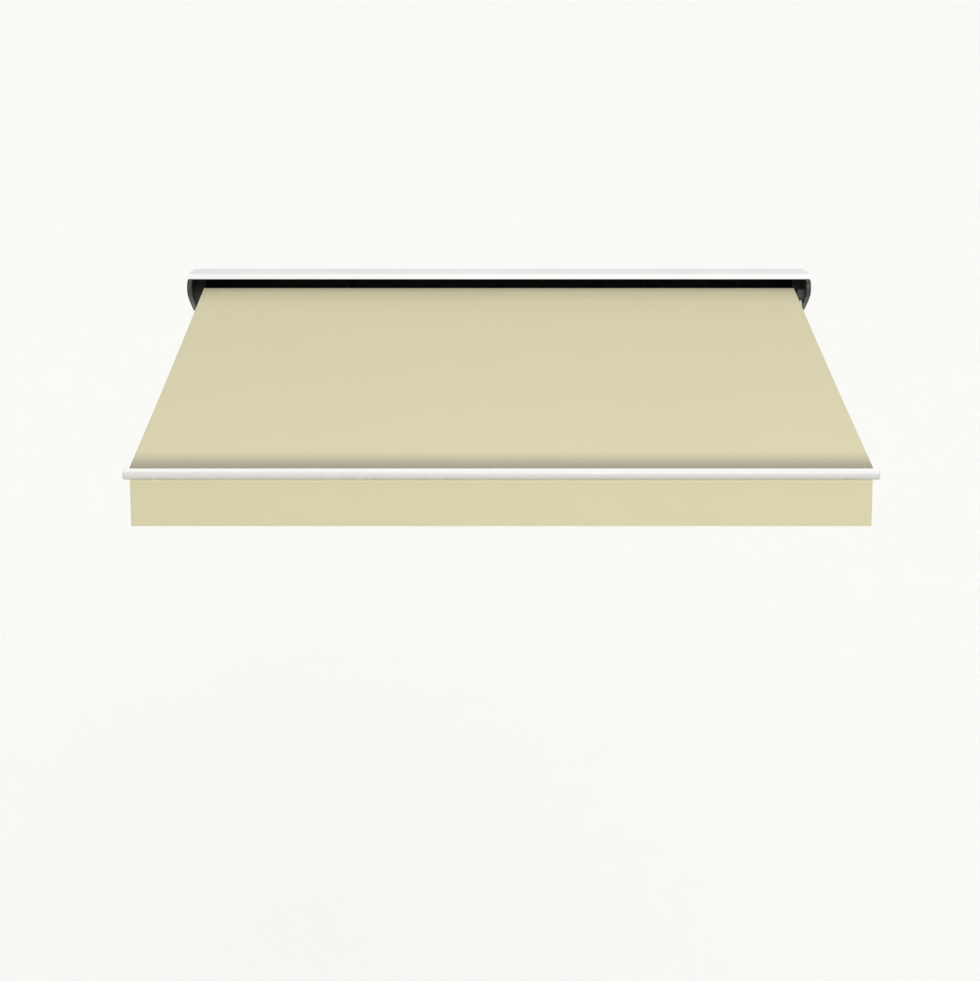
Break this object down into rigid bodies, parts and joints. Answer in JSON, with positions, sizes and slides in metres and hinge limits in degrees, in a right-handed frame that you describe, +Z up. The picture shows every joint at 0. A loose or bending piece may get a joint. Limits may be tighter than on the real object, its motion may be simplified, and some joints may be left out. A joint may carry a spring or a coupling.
{
  "type": "canvas awning",
  "caption": "Wall-hung folding-arm awning with a pitched cloth, hood, roller, sprung elbow arms, round-nosed front bar and hanging valance.",
  "frame": {"origin": "back face of the middle wall bracket, on the wall plane, at the height of the torsion bar", "axes": "+X along the awning to the viewer's right, +Y into the wall, +Z up; the cloth runs out towards -Y"},
  "size_m": [3, 1.9904, 1.2297],
  "materials": {
    "cream_cloth": "matt woven acrylic cloth in cream",
    "hood_paint": "white powder coat, satin",
    "bar_paint": "white powder coat, semi gloss",
    "arm_paint": "white powder coat, semi gloss",
    "bracket_paint": "white powder coat, satin",
    "arm_casting": "cast aluminium with white powder coat",
    "dark_plastic": "moulded, fine grain",
    "zinc_steel": "galvanised",
    "bright_steel": "bright zinc plated",
    "spring_steel": "oiled spring steel",
    "black_plastic": "moulded, fine grain"
  },
  "bodies": {
    "root": {"torsion_bar": "zinc_steel", "hood": "hood_paint", "hood_back": "hood_paint", "canvas": "cream_cloth", "idler_bearing": "black_plastic", "gearbox_case": "black_plastic", "gearbox_cover": "black_plastic", "wall_bracket_left": "bracket_paint", "wall_bracket_middle": "bracket_paint", "wall_bracket_right": "bracket_paint", "clamp_plate_left": "bracket_paint", "clamp_plate_middle": "bracket_paint", "clamp_plate_right": "bracket_paint", "clamp_bolt_left": "bright_steel", "clamp_bolt_middle": "bright_steel", "clamp_bolt_right": "bright_steel", "hood_end_cap_left": "dark_plastic", "hood_end_cap_right": "dark_plastic", "hood_support_left": "dark_plastic", "hood_support_right": "dark_plastic", "roller_end_plate_left": "zinc_steel", "roller_end_plate_right": "zinc_steel", "shoulder_bracket_left": "arm_casting", "shoulder_bracket_right": "arm_casting", "shoulder_pin_left": "bright_steel", "shoulder_pin_right": "bright_steel"},
    "left_upper_arm": {"shoulder_knuckle_left": "arm_casting", "upper_arm_tube_left": "arm_paint", "arm_spring_left": "spring_steel", "elbow_fork_left": "arm_casting", "elbow_pin_left": "bright_steel"},
    "left_forearm": {"elbow_tongue_left": "arm_casting", "forearm_tube_left": "arm_paint", "wrist_knuckle_left": "arm_casting"},
    "right_upper_arm": {"shoulder_knuckle_right": "arm_casting", "upper_arm_tube_right": "arm_paint", "arm_spring_right": "spring_steel", "elbow_fork_right": "arm_casting", "elbow_pin_right": "bright_steel"},
    "right_forearm": {"elbow_tongue_right": "arm_casting", "forearm_tube_right": "arm_paint", "wrist_knuckle_right": "arm_casting"},
    "front_bar": {"front_bar": "bar_paint", "canvas_rod": "black_plastic", "valance_rod": "black_plastic", "valance": "cream_cloth", "front_bar_cap_left": "dark_plastic", "front_bar_cap_right": "dark_plastic", "wrist_bracket_left": "arm_casting", "wrist_bracket_right": "arm_casting", "wrist_pin_left": "bright_steel", "wrist_pin_right": "bright_steel"},
    "roller": {"roller_tube": "zinc_steel", "canvas_turns": "cream_cloth", "gear_wheel": "bright_steel", "roller_plug_left": "black_plastic", "roller_plug_right": "black_plastic"},
    "crank": {"worm": "bright_steel", "crank_eye": "bright_steel"}
  },
  "joints": [
    {"name": "left_shoulder", "type": "hinge", "parent": "root", "child": "left_upper_arm", "pos_m": [-1.3, -0.15, -0.005], "axis": [0, -0.4399, 0.898], "range_deg": [0, 69.5], "deforming": ["canvas"]},
    {"name": "left_elbow", "type": "hinge", "parent": "left_upper_arm", "child": "left_forearm", "pos_m": [-0.99098, -1.00408, -0.42341], "axis": [0, -0.4399, 0.898], "range_deg": [-139, 0]},
    {"name": "left_wrist", "type": "hinge", "parent": "left_forearm", "child": "front_bar", "pos_m": [-1.3, -1.85815, -0.84181], "axis": [0, -0.4399, 0.898], "range_deg": [0, 69.5]},
    {"name": "right_shoulder", "type": "hinge", "parent": "root", "child": "right_upper_arm", "pos_m": [1.3, -0.15, -0.005], "axis": [0, -0.4399, 0.898], "range_deg": [-69.5, 0]},
    {"name": "right_elbow", "type": "hinge", "parent": "right_upper_arm", "child": "right_forearm", "pos_m": [0.99098, -1.00408, -0.42341], "axis": [0, -0.4399, 0.898], "range_deg": [0, 139]},
    {"name": "roller_spin", "type": "hinge", "parent": "root", "child": "roller", "pos_m": [0, -0.108, 0.0918], "axis": [-1, 0, 0], "range_deg": [0, 2926]},
    {"name": "crank_spin", "type": "hinge", "parent": "root", "child": "crank", "pos_m": [1.466, -0.136, 0.0145], "axis": [0, 0, 1], "range_deg": [0, 19507]}
  ],
  "couplings": [
    {"joint": "left_elbow", "follows": "left_shoulder", "ratio": -2},
    {"joint": "left_wrist", "follows": "left_shoulder", "ratio": 1},
    {"joint": "right_shoulder", "follows": "left_shoulder", "ratio": -1},
    {"joint": "right_elbow", "follows": "left_shoulder", "ratio": 2},
    {"joint": "roller_spin", "follows": "left_shoulder", "ratio": 42.1},
    {"joint": "crank_spin", "follows": "left_shoulder", "ratio": 280.67}
  ]
}
